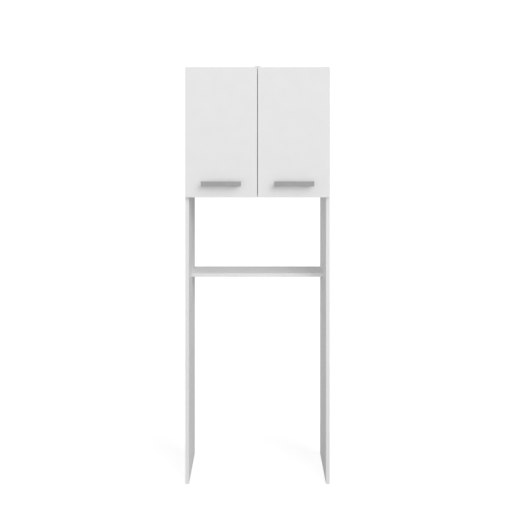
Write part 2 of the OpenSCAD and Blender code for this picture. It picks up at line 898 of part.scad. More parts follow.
// Door leaves of the right door's hinges
module right_door_leaves() {
    mirror([1, 0, 0]) left_door_leaves();
}

// Screws that hold the right door leaves on the right door
module right_door_leaf_screws() {
    mirror([1, 0, 0]) left_door_leaf_screws();
}

// Soft buffer at the right door's lower free corner
module right_door_buffer() {
    mirror([1, 0, 0]) left_door_buffer();
}

// Steel plate on the right door that the catch's magnet holds
module right_strike_plate() {
    mirror([1, 0, 0]) left_strike_plate();
}

// Screw of the right strike plate
module right_strike_screw() {
    mirror([1, 0, 0]) left_strike_screw();
}

left_side();
right_side();
side_edging();
cabinet_top();
cabinet_bottom();
inner_shelf();
open_shelf();
shelf_edging();
back_panel();
back_panel_nails();
cam_locks();
cam_bolts();
cam_caps();
wooden_dowels();
shelf_pins();
floor_glides();
glide_nails();
wall_bracket();
bracket_screws();
magnetic_catch();
catch_magnets();
catch_screws();
left_cabinet_leaves();
left_hinge_pins();
left_cabinet_leaf_screws();
right_cabinet_leaves();
right_hinge_pins();
right_cabinet_leaf_screws();
left_door();
left_door_edging();
left_handle();
left_handle_screws();
left_door_leaves();
left_door_leaf_screws();
left_door_buffer();
left_strike_plate();
left_strike_screw();
right_door();
right_door_edging();
right_handle();
right_handle_screws();
right_door_leaves();
right_door_leaf_screws();
right_door_buffer();
right_strike_plate();
right_strike_screw();
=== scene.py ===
"""Over the toilet storage rack: white melamine boards, two hinged doors with satin grey
bar handles, a shallow open shelf and an open bay below.

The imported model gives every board, hinge and fitting its place. This script dresses those
parts, and swaps the ones that need a finer shape, such as handles, screws, edging strips
and the wall bracket, for pieces modelled here in the same places.
"""

import json
import logging
import math
from dataclasses import dataclass, field
from enum import Enum
from typing import Any, Callable, Iterable, Optional

import bmesh
import bpy
from bmesh.types import BMEdge, BMesh, BMVert
from bpy.types import Material, Mesh, Node, NodeSocket, NodeTree, Object
from mathutils import Matrix, Vector


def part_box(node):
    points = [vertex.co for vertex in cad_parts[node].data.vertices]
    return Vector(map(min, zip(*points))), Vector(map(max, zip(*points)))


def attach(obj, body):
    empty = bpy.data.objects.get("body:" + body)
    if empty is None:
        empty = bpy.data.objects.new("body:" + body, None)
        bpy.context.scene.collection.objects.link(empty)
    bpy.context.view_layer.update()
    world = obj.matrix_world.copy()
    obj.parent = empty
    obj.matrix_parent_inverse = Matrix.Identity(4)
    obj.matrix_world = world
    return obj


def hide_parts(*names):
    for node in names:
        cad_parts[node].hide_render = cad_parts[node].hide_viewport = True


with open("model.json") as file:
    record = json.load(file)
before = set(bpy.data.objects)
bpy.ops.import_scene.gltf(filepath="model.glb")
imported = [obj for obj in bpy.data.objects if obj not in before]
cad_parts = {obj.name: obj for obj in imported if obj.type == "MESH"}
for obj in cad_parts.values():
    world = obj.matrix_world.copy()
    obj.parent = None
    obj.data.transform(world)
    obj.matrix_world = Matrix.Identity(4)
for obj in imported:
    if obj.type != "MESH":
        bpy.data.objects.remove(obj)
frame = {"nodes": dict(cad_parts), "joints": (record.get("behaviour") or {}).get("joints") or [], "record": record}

LOG = logging.getLogger("rack")
MM = 0.001
MM_PER_M = 1000
# closest vertices that still count as separate, and places that count as the same
MERGE = 0.001 * MM
NEAR = 0.01 * MM
# faces that meet at more than this angle keep a sharp edge between them
SHARP_DEG = 35.0
WHITE = "FFFFFF"
Colour = tuple[float, float, float, float]
Box = tuple[Vector, Vector]


class Side(Enum):
    """The two doors and what belongs to them; the value is the direction of +X outwards."""

    LEFT = -1
    RIGHT = 1

    @property
    def word(self) -> str:
        """The side's name, as the model's nodes begin."""
        return self.name.lower()


class Bare(Enum):
    """Which cut edges of a board were left without edging, as outward normals."""

    NONE = ()
    REAR = ((0.0, 1.0, 0.0),)
    REAR_AND_FOOT = ((0.0, 1.0, 0.0), (0.0, 0.0, -1.0))


# ---------------------------------------------------------------- node helpers

# noise stays mostly between these two values, which are spread over a finish's own range
MIDDLE = {"From Min": 0.3, "From Max": 0.7}
# a wave texture of scale 1 repeats this often in 2 pi metres
WAVE_REPEATS = 20
# a face looks a given way if the cosine to that way is above this
FACING = 0.8
# socket numbers of a Mix node that mixes colours
MIX_FIRST, MIX_SECOND, MIX_RESULT = 6, 7, 2


def linear(hex_colour: str) -> Colour:
    """Turns an sRGB hex colour into linear light.

    Args:
        hex_colour: six hexadecimal digits, such as "F4F4F2".

    Returns:
        Linear red, green, blue and an alpha of 1.
    """
    parts = [int(hex_colour[i:i + 2], 16) / 255 for i in (0, 2, 4)]
    red, green, blue = (c / 12.92 if c <= 0.04045 else ((c + 0.055) / 1.055) ** 2.4 for c in parts)
    return red, green, blue, 1.0


def per_mm(size_mm: float) -> float:
    """Texture scale, in features for each metre, of a pattern whose features measure size_mm."""
    return MM_PER_M / size_mm


def add_node(tree: NodeTree, kind: str, inputs: Optional[dict[Any, Any]] = None,
             **settings: Any) -> Node:
    """Adds a node with its settings, values and links.

    Args:
        tree: the node tree that the node goes into.
        kind: the node's type name, without the ShaderNode that it starts with.
        inputs: by each input's name or number, a plain value, a socket, or a node whose
            first output is meant.
        **settings: attributes of the node itself.

    Returns:
        The new node.
    """
    node = tree.nodes.new("ShaderNode" + kind)
    for name, value in settings.items():
        setattr(node, name, value)
    for key, value in (inputs or {}).items():
        if isinstance(value, Node):
            value = value.outputs[0]
        if isinstance(value, NodeSocket):
            tree.links.new(value, node.inputs[key])
        else:
            node.inputs[key].default_value = value
    return node


# ---------------------------------------------------------------- finishes


@dataclass(frozen=True)
class Finish:
    """A surface finish; each kind works out the inputs of a Principled shader its own way."""

    title: str

    def look(self, tree: NodeTree) -> dict[str, Any]:
        """Adds the finish's pattern nodes.

        Args:
            tree: the material's node tree.

        Returns:
            The Principled shader's inputs, by name.
        """
        raise NotImplementedError

    def material(self) -> Material:
        """Builds the finish's material once, and returns it."""
        made = bpy.data.materials.get(self.title)
        if made is None:
            made = bpy.data.materials.new(self.title)
            made.use_nodes = True
            made.node_tree.nodes.clear()
            shader = add_node(made.node_tree, "BsdfPrincipled", self.look(made.node_tree))
            add_node(made.node_tree, "OutputMaterial", {"Surface": shader})
        return made


@dataclass(frozen=True)
class MelamineBoard(Finish):
    """Chipboard faced with matt white melamine paper, pressed with a fine pearl grain.

    The paper gives an even white with a barely visible mottle and a soft, wide gloss.
    Cut edges without edging show the pressed wood chips.
    """

    bare: Bare = Bare.NONE
    paper: str = "F0F0F0"
    paper_shade: str = "EEEEEE"
    # real pearl grain is about 0.3 mm; drawn at 1.6 mm so that it shows
    grain_mm: float = 1.6
    grain_depth_mm: float = 0.02
    mottle_mm: float = 60.0
    rough: tuple[float, float] = (0.44, 0.54)
    chip_light: str = "D9B98A"
    chip_dark: str = "8F6B42"
    chip_mm: float = 2.6
    # the chips are drawn this much flatter along Z, a shelf's thickness
    chip_flat: tuple[float, float, float] = (1.0, 1.0, 1.7)
    chip_depth_mm: float = 0.3
    chip_rough: tuple[float, float] = (0.7, 0.9)
    dust_mm: float = 0.7

    def look(self, tree: NodeTree) -> dict[str, Any]:
        """Melamine all over, with chipboard on the bare edges."""
        place = add_node(tree, "TexCoord")
        grain = add_node(tree, "TexNoise",
                         {"Vector": place.outputs["Object"], "Scale": per_mm(self.grain_mm)})
        mottle = add_node(tree, "TexNoise",
                          {"Vector": place.outputs["Object"], "Scale": per_mm(self.mottle_mm)})
        share = add_node(tree, "MapRange", {**MIDDLE, "Value": mottle})
        colour = add_node(tree, "Mix",
                          {0: share, MIX_FIRST: linear(self.paper_shade),
                           MIX_SECOND: linear(self.paper)}, data_type="RGBA").outputs[MIX_RESULT]
        low, high = self.rough
        rough = add_node(tree, "MapRange",
                         {**MIDDLE, "Value": grain, "To Min": low, "To Max": high})
        relief = add_node(tree, "MapRange",
                          {**MIDDLE, "Value": grain, "To Max": self.grain_depth_mm})
        if self.bare is not Bare.NONE:
            mask = self.bare_mask(tree, place.outputs["Normal"])
            wood, tone = self.chips(tree, place.outputs["Object"])
            colour = add_node(tree, "Mix",
                              {0: mask, MIX_FIRST: colour, MIX_SECOND: wood},
                              data_type="RGBA").outputs[MIX_RESULT]
            low, high = self.chip_rough
            wood_rough = add_node(tree, "MapRange", {"Value": tone, "To Min": low, "To Max": high})
            wood_relief = add_node(tree, "MapRange", {"Value": tone, "To Max": self.chip_depth_mm})
            rough = add_node(tree, "Mix", {0: mask, 2: rough, 3: wood_rough})
            relief = add_node(tree, "Mix", {0: mask, 2: relief, 3: wood_relief})
        bump = add_node(tree, "Bump", {"Height": relief, "Distance": MM})
        return {"Base Color": colour, "Roughness": rough, "Normal": bump}

    def bare_mask(self, tree: NodeTree, normal: NodeSocket) -> Node:
        """Marks the faces that look along one of the bare normals.

        Args:
            tree: the material's node tree.
            normal: the surface's normal.

        Returns:
            A node whose first output is 1 on those faces, and 0 elsewhere.
        """
        marks = []
        for direction in self.bare.value:
            facing = add_node(tree, "VectorMath", {0: normal, 1: direction},
                              operation="DOT_PRODUCT").outputs["Value"]
            marks.append(add_node(tree, "Math", {0: facing, 1: FACING},
                                  operation="GREATER_THAN"))
        mask = marks[0]
        for mark in marks[1:]:
            mask = add_node(tree, "Math", {0: mask, 1: mark}, operation="MAXIMUM")
        return mask

    def chips(self, tree: NodeTree, place: NodeSocket) -> tuple[NodeSocket, Node]:
        """Draws pressed wood chips, flattened along Z.

        Args:
            tree: the material's node tree.
            place: object coordinates.

        Returns:
            The chips' colour, and a node whose first output goes from 0 in the gaps to 1.
        """
        flat = add_node(tree, "Mapping", {"Vector": place, "Scale": self.chip_flat})
        cells = add_node(tree, "TexVoronoi", {"Vector": flat, "Scale": per_mm(self.chip_mm)})
        chip = add_node(tree, "SeparateColor", {"Color": cells.outputs["Color"]})
        dust = add_node(tree, "TexNoise", {"Vector": flat, "Scale": per_mm(self.dust_mm)})
        share = add_node(tree, "MapRange", {**MIDDLE, "Value": dust})
        tone = add_node(tree, "Mix", {0: share, 2: chip, 3: dust})
        colour = add_node(tree, "Mix",
                          {0: tone, MIX_FIRST: linear(self.chip_dark),
                           MIX_SECOND: linear(self.chip_light)}, data_type="RGBA")
        return colour.outputs[MIX_RESULT], tone


@dataclass(frozen=True)
class Hardboard(Finish):
    """Wet-process hardboard: white lacquer inside, brown fibres with a screen's print behind.

    The lacquer is a little yellower and duller than melamine. The rear is felted wood
    fibre with the weave of the press screen in it.
    """

    lacquer: str = "E9E8E4"
    lacquer_shade: str = "E6E5E0"
    fibre_light: str = "B48F63"
    fibre_dark: str = "9C784E"
    fibre_mm: float = 2.2
    fibre_detail: float = 6.0
    fibre_roughness: float = 0.7
    # the middle of the noise, spread over the fibres' whole tone
    fibre_middle: tuple[float, float] = (0.35, 0.65)
    cloud_mm: float = 70.0
    # the clouds' least and greatest share in the fibres' tone
    cloud_share: tuple[float, float] = (0.15, 0.45)
    # the screen's print is about 1.5 mm apart on the real board; drawn at 3 mm
    screen_mm: float = 3.0
    relief_mm: float = 0.15
    # the lacquer's relief, as a share of the screen print's
    lacquer_relief: float = 0.02
    lacquer_rough: tuple[float, float] = (0.4, 0.5)
    fibre_rough: tuple[float, float] = (0.7, 0.9)

    def look(self, tree: NodeTree) -> dict[str, Any]:
        """Lacquer on the front, fibres on the rear and the edges, told apart by the normal."""
        source = add_node(tree, "TexCoord")
        place = source.outputs["Object"]
        rear = add_node(tree, "VectorMath",
                        {0: source.outputs["Normal"], 1: (0.0, 1.0, 0.0)},
                        operation="DOT_PRODUCT").outputs["Value"]
        # cut edges count as rear: only the face towards the cabinet's inside is lacquered
        mask = add_node(tree, "Math", {0: rear, 1: -FACING}, operation="GREATER_THAN")
        fibres = add_node(tree, "TexNoise",
                          {"Vector": place, "Scale": per_mm(self.fibre_mm),
                           "Detail": self.fibre_detail, "Roughness": self.fibre_roughness})
        clouds = add_node(tree, "TexNoise", {"Vector": place, "Scale": per_mm(self.cloud_mm)})
        share = add_node(tree, "MapRange", {**MIDDLE, "Value": clouds})
        white = add_node(tree, "Mix",
                         {0: share, MIX_FIRST: linear(self.lacquer_shade),
                          MIX_SECOND: linear(self.lacquer)}, data_type="RGBA")
        low, high = self.cloud_share
        part = add_node(tree, "MapRange",
                        {**MIDDLE, "Value": clouds, "To Min": low, "To Max": high})
        mixed = add_node(tree, "Mix", {0: part, 2: fibres, 3: clouds})
        low, high = self.fibre_middle
        tone = add_node(tree, "MapRange", {"Value": mixed, "From Min": low, "From Max": high})
        brown = add_node(tree, "Mix",
                         {0: tone, MIX_FIRST: linear(self.fibre_dark),
                          MIX_SECOND: linear(self.fibre_light)}, data_type="RGBA")
        colour = add_node(tree, "Mix",
                          {0: mask, MIX_FIRST: white.outputs[MIX_RESULT],
                           MIX_SECOND: brown.outputs[MIX_RESULT]}, data_type="RGBA")
        smooth, felted = (
            add_node(tree, "MapRange", {**MIDDLE, "Value": fibres, "To Min": low, "To Max": high})
            for low, high in (self.lacquer_rough, self.fibre_rough))
        rough = add_node(tree, "Mix", {0: mask, 2: smooth, 3: felted})
        grain = add_node(tree, "MapRange",
                         {**MIDDLE, "Value": fibres, "To Max": self.lacquer_relief})
        relief = add_node(tree, "Mix", {0: mask, 2: grain, 3: self.screen_print(tree, place)})
        bump = add_node(tree, "Bump", {"Height": relief, "Distance": self.relief_mm * MM})
        return {"Base Color": colour.outputs[MIX_RESULT], "Roughness": rough, "Normal": bump}

    def screen_print(self, tree: NodeTree, place: NodeSocket) -> Node:
        """Draws the print of the press screen, two crossed sets of ridges.

        Args:
            tree: the material's node tree.
            place: object coordinates.

        Returns:
            A node whose first output is the print's height.
        """
        scale = per_mm(self.screen_mm) * 2 * math.pi / WAVE_REPEATS
        ridges = [add_node(tree, "TexWave", {"Vector": place, "Scale": scale},
                           wave_type="BANDS", bands_direction=axis).outputs["Fac"]
                  for axis in ("X", "Z")]
        return add_node(tree, "Math", {0: ridges[0], 1: ridges[1]}, operation="MULTIPLY")


@dataclass(frozen=True)
class BrushedMetal(Finish):
    """Metal with fine brush or rolling marks along one axis, under a clear satin look.

    The marks spread reflections across themselves, which gives the soft grey of a
    satin handle or the brighter shine of nickel plate.
    """

    light: str = "B8B8B8"
    dark: str = "A4A4A4"
    rough: tuple[float, float] = (0.30, 0.42)
    # brush marks are about 0.1 mm on the real metal; drawn at 0.6 mm
    mark_mm: float = 0.6
    mark_detail: float = 3.0
    mark_depth_mm: float = 0.012
    along: tuple[float, float, float] = (0.03, 1.0, 1.0)
    cloud_mm: float = 35.0
    # the clouds' least and greatest share in the tone
    cloud_share: tuple[float, float] = (0.35, 0.65)

    def look(self, tree: NodeTree) -> dict[str, Any]:
        """Long thin noise for the marks, and a slow change of tone."""
        place = add_node(tree, "TexCoord").outputs["Object"]
        drawn = add_node(tree, "Mapping", {"Vector": place, "Scale": self.along})
        marks = add_node(tree, "TexNoise",
                         {"Vector": drawn, "Scale": per_mm(self.mark_mm),
                          "Detail": self.mark_detail})
        clouds = add_node(tree, "TexNoise", {"Vector": place, "Scale": per_mm(self.cloud_mm)})
        low, high = self.cloud_share
        part = add_node(tree, "MapRange",
                        {**MIDDLE, "Value": clouds, "To Min": low, "To Max": high})
        mixed = add_node(tree, "Mix", {0: part, 2: marks, 3: clouds})
        tone = add_node(tree, "MapRange", {**MIDDLE, "Value": mixed})
        colour = add_node(tree, "Mix",
                          {0: tone, MIX_FIRST: linear(self.dark), MIX_SECOND: linear(self.light)},
                          data_type="RGBA")
        low, high = self.rough
        rough = add_node(tree, "MapRange",
                         {**MIDDLE, "Value": marks, "To Min": low, "To Max": high})
        bump = add_node(tree, "Bump", {"Height": marks, "Distance": self.mark_depth_mm * MM})
        return {"Base Color": colour.outputs[MIX_RESULT], "Metallic": 1.0, "Roughness": rough,
                "Normal": bump}


@dataclass(frozen=True)
class ZincPlate(Finish):
    """Dull zinc, die-cast or plated: each crystal has its own grey and gloss."""

    light: str = "C3C6C9"
    dark: str = "94989C"
    crystal_mm: float = 2.5
    rough: tuple[float, float] = (0.42, 0.58)

    def look(self, tree: NodeTree) -> dict[str, Any]:
        """Cells for the crystals."""
        place = add_node(tree, "TexCoord").outputs["Object"]
        cells = add_node(tree, "TexVoronoi", {"Vector": place, "Scale": per_mm(self.crystal_mm)})
        tone = add_node(tree, "SeparateColor", {"Color": cells.outputs["Color"]})
        colour = add_node(tree, "Mix",
                          {0: tone, MIX_FIRST: linear(self.dark), MIX_SECOND: linear(self.light)},
                          data_type="RGBA")
        low, high = self.rough
        rough = add_node(tree, "MapRange", {"Value": tone, "To Min": low, "To Max": high})
        return {"Base Color": colour.outputs[MIX_RESULT], "Metallic": 1.0, "Roughness": rough}


@dataclass(frozen=True)
class GrainedCoat(Finish):
    """An even coat or plastic with one fine grain in its gloss and relief.

    The grain breaks the highlights up; the colour changes slowly between two close tones.
    """

    tint: str = "EDEDEA"
    shade: str = "E4E4E0"
    grain_mm: float = 0.6
    grain_depth_mm: float = 0.02
    along: tuple[float, float, float] = (1.0, 1.0, 1.0)
    cloud_mm: float = 12.0
    rough: tuple[float, float] = (0.42, 0.52)
    clear: float = 0.0

    def look(self, tree: NodeTree) -> dict[str, Any]:
        """One noise for the grain and one for the tone."""
        place = add_node(tree, "TexCoord").outputs["Object"]
        drawn = add_node(tree, "Mapping", {"Vector": place, "Scale": self.along})
        grain = add_node(tree, "TexNoise", {"Vector": drawn, "Scale": per_mm(self.grain_mm)})
        clouds = add_node(tree, "TexNoise", {"Vector": drawn, "Scale": per_mm(self.cloud_mm)})
        tone = add_node(tree, "MapRange", {**MIDDLE, "Value": clouds})
        colour = add_node(tree, "Mix",
                          {0: tone, MIX_FIRST: linear(self.shade), MIX_SECOND: linear(self.tint)},
                          data_type="RGBA")
        low, high = self.rough
        rough = add_node(tree, "MapRange",
                         {**MIDDLE, "Value": grain, "To Min": low, "To Max": high})
        bump = add_node(tree, "Bump", {"Height": grain, "Distance": self.grain_depth_mm * MM})
        return {"Base Color": colour.outputs[MIX_RESULT], "Roughness": rough, "Normal": bump,
                "Transmission Weight": self.clear}


WHITE_BOARD = MelamineBoard("melamine faced chipboard")
WHITE_BOARD_REAR = MelamineBoard("melamine faced chipboard, bare rear edge", bare=Bare.REAR)
WHITE_BOARD_FOOT = MelamineBoard("melamine faced chipboard, bare rear and foot",
                                 bare=Bare.REAR_AND_FOOT)
BACK_BOARD = Hardboard("lacquered hardboard")
HANDLE_METAL = BrushedMetal("satin anodised aluminium")
# rolled sheet, nickel plated: warmer and smoother than the handles
NICKEL = BrushedMetal("nickel plated steel", light="CBC9C6", dark="C0BEBA", rough=(0.24, 0.3),
                      mark_depth_mm=0.003, along=(1.0, 1.0, 0.05))
ZINC = ZincPlate("dull zinc")
# glued on and scraped flush, which leaves faint upright marks; the real ones are about
# 0.1 mm wide, drawn at 0.8 mm
EDGING = GrainedCoat("extruded ABS edging", tint="F1F1F1", shade="ECECEC", grain_mm=0.8,
                     grain_depth_mm=0.01, along=(1.0, 1.0, 0.08), cloud_mm=90, rough=(0.34, 0.44))
# spark-eroded moulds give an even matt grain
WHITE_PLASTIC = GrainedCoat("injection moulded polyamide")
# baked powder flows into a slight orange peel; the coat's grey is partly its own pale colour and partly painted
# shade, drawn darker to stand for the shade that the bracket's tab sits in
WHITE_STEEL_WITH_PAINTED_SHADE = GrainedCoat("powder coated steel", tint="E5E5E4", shade="DEDEDD", grain_mm=2.0,
                          grain_depth_mm=0.03, cloud_mm=15, rough=(0.28, 0.34))
# pale pinkish wood with short dark flecks along the dowel
BEECH = GrainedCoat("turned beech", tint="DDBB8E", shade="B98F5F", grain_mm=0.8,
                    grain_depth_mm=0.05, along=(0.15, 1.0, 1.0), cloud_mm=0.8, rough=(0.55, 0.7))
# charcoal grey ceramic with gritty, lightly chipped faces
FERRITE = GrainedCoat("sintered ferrite", tint="3B3B3D", shade="232325", grain_mm=0.5,
                      grain_depth_mm=0.05, cloud_mm=0.5, rough=(0.5, 0.7))
# cloudy soft plastic with a wet shine
VINYL = GrainedCoat("soft clear vinyl", tint=WHITE, shade="E6EBEC", grain_mm=3.0,
                    grain_depth_mm=0.01, cloud_mm=3.0, rough=(0.18, 0.3), clear=0.6)


# ---------------------------------------------------------------- mesh helpers


def solids(node: str) -> list[Box]:
    """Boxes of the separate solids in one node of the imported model.

    Args:
        node: the node's name.

    Returns:
        Lowest and highest corner of each solid, in the order of their lowest corners.
    """
    mesh = frame["nodes"][node].data
    bm = bmesh.new()
    bm.from_mesh(mesh)
    bmesh.ops.remove_doubles(bm, verts=bm.verts, dist=2 * MERGE)
    boxes: list[Box] = []
    left = set(bm.verts)
    while left:
        group, todo = set(), [left.pop()]
        while todo:
            vert = todo.pop()
            group.add(vert)
            for edge in vert.link_edges:
                other = edge.other_vert(vert)
                if other in left:
                    left.discard(other)
                    todo.append(other)
        spots = [v.co for v in group]
        boxes.append((Vector([min(c[i] for c in spots) for i in range(3)]),
                      Vector([max(c[i] for c in spots) for i in range(3)])))
    bm.free()
    return sorted(boxes, key=lambda b: tuple(round(c, 5) for c in b[0]))


def middle(box: Box) -> Vector:
    """Centre of a box."""
    return (box[0] + box[1]) / 2


def add_block(bm: BMesh, low: Vector, high: Vector) -> list[BMVert]:
    """Adds a box between two corners to a bmesh.

    Args:
        bm: the bmesh.
        low: lowest corner.
        high: highest corner.

    Returns:
        The box's vertices.
    """
    place = Matrix.Translation((low + high) / 2) @ Matrix.Diagonal((*(high - low), 1.0))
    return bmesh.ops.create_cube(bm, size=1.0, matrix=place)["verts"]


def round_edges(bm: BMesh, edges: Iterable[BMEdge], radius: float, segments: int = 3) -> None:
    """Rounds edges of a bmesh.

    Args:
        bm: the bmesh.
        edges: the edges to round.
        radius: radius, in metres.
        segments: faces across the round.
    """
    bmesh.ops.bevel(bm, geom=list(edges), offset=radius, offset_type="OFFSET", segments=segments,
                    profile=0.5, affect="EDGES", clamp_overlap=True, material=-1)


def sharp_edges(bm: BMesh, least_deg: float = 40.0) -> list[BMEdge]:
    """Edges where two faces meet at more than an angle.

    Args:
        bm: the bmesh.
        least_deg: the smallest angle that counts, in degrees.

    Returns:
        The edges.
    """
    return [e for e in bm.edges
            if len(e.link_faces) == 2 and e.calc_face_angle(0.0) > math.radians(least_deg)]


def to_mesh(bm: BMesh, name: str) -> Mesh:
    """Turns a finished bmesh into a mesh, with doubles merged and normals outwards.

    Args:
        bm: the bmesh, which is freed.
        name: the mesh's name.

    Returns:
        The mesh.
    """
    bmesh.ops.remove_doubles(bm, verts=bm.verts, dist=MERGE)
    bmesh.ops.recalc_face_normals(bm, faces=bm.faces)
    mesh = bpy.data.meshes.new(name)
    bm.to_mesh(mesh)
    bm.free()
    return mesh


def carve(mesh: Mesh, cutter: Mesh) -> Mesh:
    """Cuts one closed mesh out of another.

    Args:
        mesh: the mesh that is cut.
        cutter: the mesh whose room is taken away; it is deleted.

    Returns:
        The cut mesh, under the first one's name.
    """
    body = bpy.data.objects.new("carve_body", mesh)
    tool = bpy.data.objects.new("carve_tool", cutter)
    for obj in (body, tool):
        bpy.context.scene.collection.objects.link(obj)
    step = body.modifiers.new("cut", "BOOLEAN")
    step.object, step.operation, step.solver = tool, "DIFFERENCE", "EXACT"
    bpy.context.view_layer.update()
    graph = bpy.context.evaluated_depsgraph_get()
    cut = bpy.data.meshes.new_from_object(body.evaluated_get(graph))
    name = mesh.name
    for obj in (body, tool):
        bpy.data.objects.remove(obj)
    bpy.data.meshes.remove(mesh)
    bpy.data.meshes.remove(cutter)
    cut.name = name
    return cut


def rods(spots: Iterable[tuple[Vector, Vector, float]], segments: int = 32) -> Mesh:
    """Round bars as one mesh, mostly to drill with.

    Args:
        spots: start, end and radius of each bar.
        segments: sides of each bar.

    Returns:
        The mesh of all the bars.
    """
    bm = bmesh.new()
    for start, end, radius in spots:
        along = end - start
        turn = along.to_track_quat("Z", "Y").to_matrix().to_4x4()
        bmesh.ops.create_cone(bm, cap_ends=True, cap_tris=False, segments=segments,
                              radius1=radius, radius2=radius, depth=along.length,
                              matrix=Matrix.Translation((start + end) / 2) @ turn)
    return to_mesh(bm, "rods")


def spun(profile: list[tuple[float, float]], segments: int) -> BMesh:
    """A closed round solid from its profile.

    Args:
        profile: radius and height of each point, from one end of the axis to the other.
        segments: steps round the Z axis.

    Returns:
        The solid's bmesh.
    """
    bm = bmesh.new()
    verts = [bm.verts.new((radius, 0.0, height)) for radius, height in profile]
    edges = [bm.edges.new(pair) for pair in zip(verts, verts[1:])]
    bmesh.ops.spin(bm, geom=verts + edges, cent=(0, 0, 0), axis=(0, 0, 1), angle=2 * math.pi,
                   steps=segments, use_merge=True)
    bmesh.ops.remove_doubles(bm, verts=bm.verts, dist=MERGE)
    return bm


def place(mesh: Mesh, name: str, finish: Finish, body: str, slot: str,
          stands_for: tuple[str, ...] = ()) -> Object:
    """Makes a finished piece of a mesh and attaches it to its body.

    Args:
        mesh: the piece's mesh, in the frame's own coordinates.
        name: the piece's name.
        finish: the piece's finish.
        body: the body that it rides on.
        slot: the record's material slot; not used.
        stands_for: nodes that it replaces.

    Returns:
        The piece's object.
    """
    piece = bpy.data.objects.new(name, mesh)
    mesh.name = name
    bpy.context.scene.collection.objects.link(piece)
    mesh.materials.clear()
    mesh.materials.append(finish.material())
    mesh.shade_smooth()
    mesh.set_sharp_from_angle(angle=math.radians(SHARP_DEG))
    # flat faces keep their own normal, so that only the rounded edges shade as rounds
    even = piece.modifiers.new("even_normals", "WEIGHTED_NORMAL")
    even.weight, even.keep_sharp = 100, True
    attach(piece, body)
    if stands_for:
        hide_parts(*stands_for)
    LOG.info("%s: %d faces, %s, on %s", name, len(mesh.polygons), finish.title, body)
    return piece


def dress(finish: Finish, *nodes: str) -> None:
    """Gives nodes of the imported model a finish, and leaves their shape alone.

    Args:
        finish: the finish.
        *nodes: names of the nodes.
    """
    for node in nodes:
        slots = frame["nodes"][node].material_slots
        for slot in slots:
            slot.material = finish.material()
        LOG.info("%s: %s", node, finish.title)


# ---------------------------------------------------------------- screws


@dataclass(frozen=True)
class CrossScrew:
    """A pan head screw with a cross recess, its shank ridged like a thread."""

    head_d: float
    head_h: float
    shank_d: float
    length: float
    pitch: float = 1.3 * MM
    tip: float = 1.6 * MM
    segments: int = 24
    dome_steps: int = 6
    # shares of the shank: its core inside the thread, and its smooth neck
    core_share: float = 0.74
    neck_share: float = 0.96
    # shares of the head: its flat underside's radius, and the height of its rim
    seat_share: float = 0.94
    rim_share: float = 0.45
    # the recess's arms, as shares of the head's diameter, and the heights of their foot and
    # top as shares of its height; at the foot they reach only a part as far
    arm_share: float = 0.3
    arm_width_share: float = 0.11
    floor_share: float = 0.3
    top_share: float = 1.4
    foot_share: float = 0.45
    # radians from one screw to the next
    turn_each: float = 0.7

    def blank(self) -> Mesh:
        """The screw with its head on z = 0, before its recess is cut."""
        head_r, shank_r = self.head_d / 2, self.shank_d / 2
        core_r, neck_r = shank_r * self.core_share, shank_r * self.neck_share
        profile = [(0.0, -self.length)]
        turns = int((self.length - self.tip - self.pitch) / self.pitch)
        for turn in range(turns):
            foot = self.tip - self.length + turn * self.pitch
            profile += [(core_r, foot), (shank_r, foot + self.pitch / 2)]
        profile += [(core_r, self.tip - self.length + turns * self.pitch),
                    (neck_r, -self.pitch), (neck_r, 0.0), (head_r * self.seat_share, 0.0)]
        for step in range(self.dome_steps):
            angle = math.pi / 2 * step / self.dome_steps
            rise = self.rim_share + (1 - self.rim_share) * math.sin(angle)
            profile.append((head_r * math.cos(angle), self.head_h * rise))
        profile.append((0.0, self.head_h))
        return to_mesh(spun(profile, self.segments), "screw")

    def recess_arm(self, turn: float) -> Mesh:
        """One arm of the driver's cross, narrower at its foot, as a mesh to cut with.

        Args:
            turn: angle round the screw's axis.

        Returns:
            The arm's mesh.
        """
        bm = bmesh.new()
        arm, width = self.head_d * self.arm_share, self.head_d * self.arm_width_share
        verts = add_block(bm, Vector((-arm, -width / 2, self.head_h * self.floor_share)),
                          Vector((arm, width / 2, self.head_h * self.top_share)))
        for vert in verts:
            if vert.co.z < self.head_h:
                vert.co.x *= self.foot_share
        bmesh.ops.rotate(bm, verts=verts, cent=(0, 0, 0), matrix=Matrix.Rotation(turn, 3, "Z"))
        return to_mesh(bm, "arm")

    def batch(self, seats: Iterable[tuple[Vector, Vector]]) -> Mesh:
        """Several of these screws in one mesh.

        Args:
            seats: for each screw, the middle of its seat and the way its head looks.

        Returns:
            The mesh of them all.
        """
        single = self.blank()
        for turn in (0.0, math.pi / 2):
            single = carve(single, self.recess_arm(turn))
        bm = bmesh.new()
        for number, (seat, out) in enumerate(seats):
            fresh = bmesh.new()
            fresh.from_mesh(single)
            # screws stop at any angle: each is turned a little more than the last
            turn = Matrix.Rotation(self.turn_each * number, 4, "Z")
            bmesh.ops.transform(fresh, verts=fresh.verts, matrix=Matrix.Translation(seat)
                                @ out.to_track_quat("Z", "Y").to_matrix().to_4x4() @ turn)
            held = bpy.data.meshes.new("held")
            fresh.to_mesh(held)
            fresh.free()
            bm.from_mesh(held)
            bpy.data.meshes.remove(held)
        bpy.data.meshes.remove(single)
        return to_mesh(bm, "screws")


def seats_of(node: str, axis: int, outwards: float, head_h: float) -> list[tuple[Vector, Vector]]:
    """Where the screws of a node sit, from their solids' boxes.

    Args:
        node: a node whose solids are screws along one axis.
        axis: 0, 1 or 2, the axis that they lie along.
        outwards: 1 or -1, the way along that axis that their heads look.
        head_h: height of a head.

    Returns:
        The middle of each screw's seat, and the way that its head looks.
    """
    out = Vector((0.0, 0.0, 0.0))
    out[axis] = outwards
    seats = []
    for box in solids(node):
        seat = middle(box)
        seat[axis] = (box[1] if outwards > 0 else box[0])[axis] - outwards * head_h
        seats.append((seat, out.copy()))
    return seats


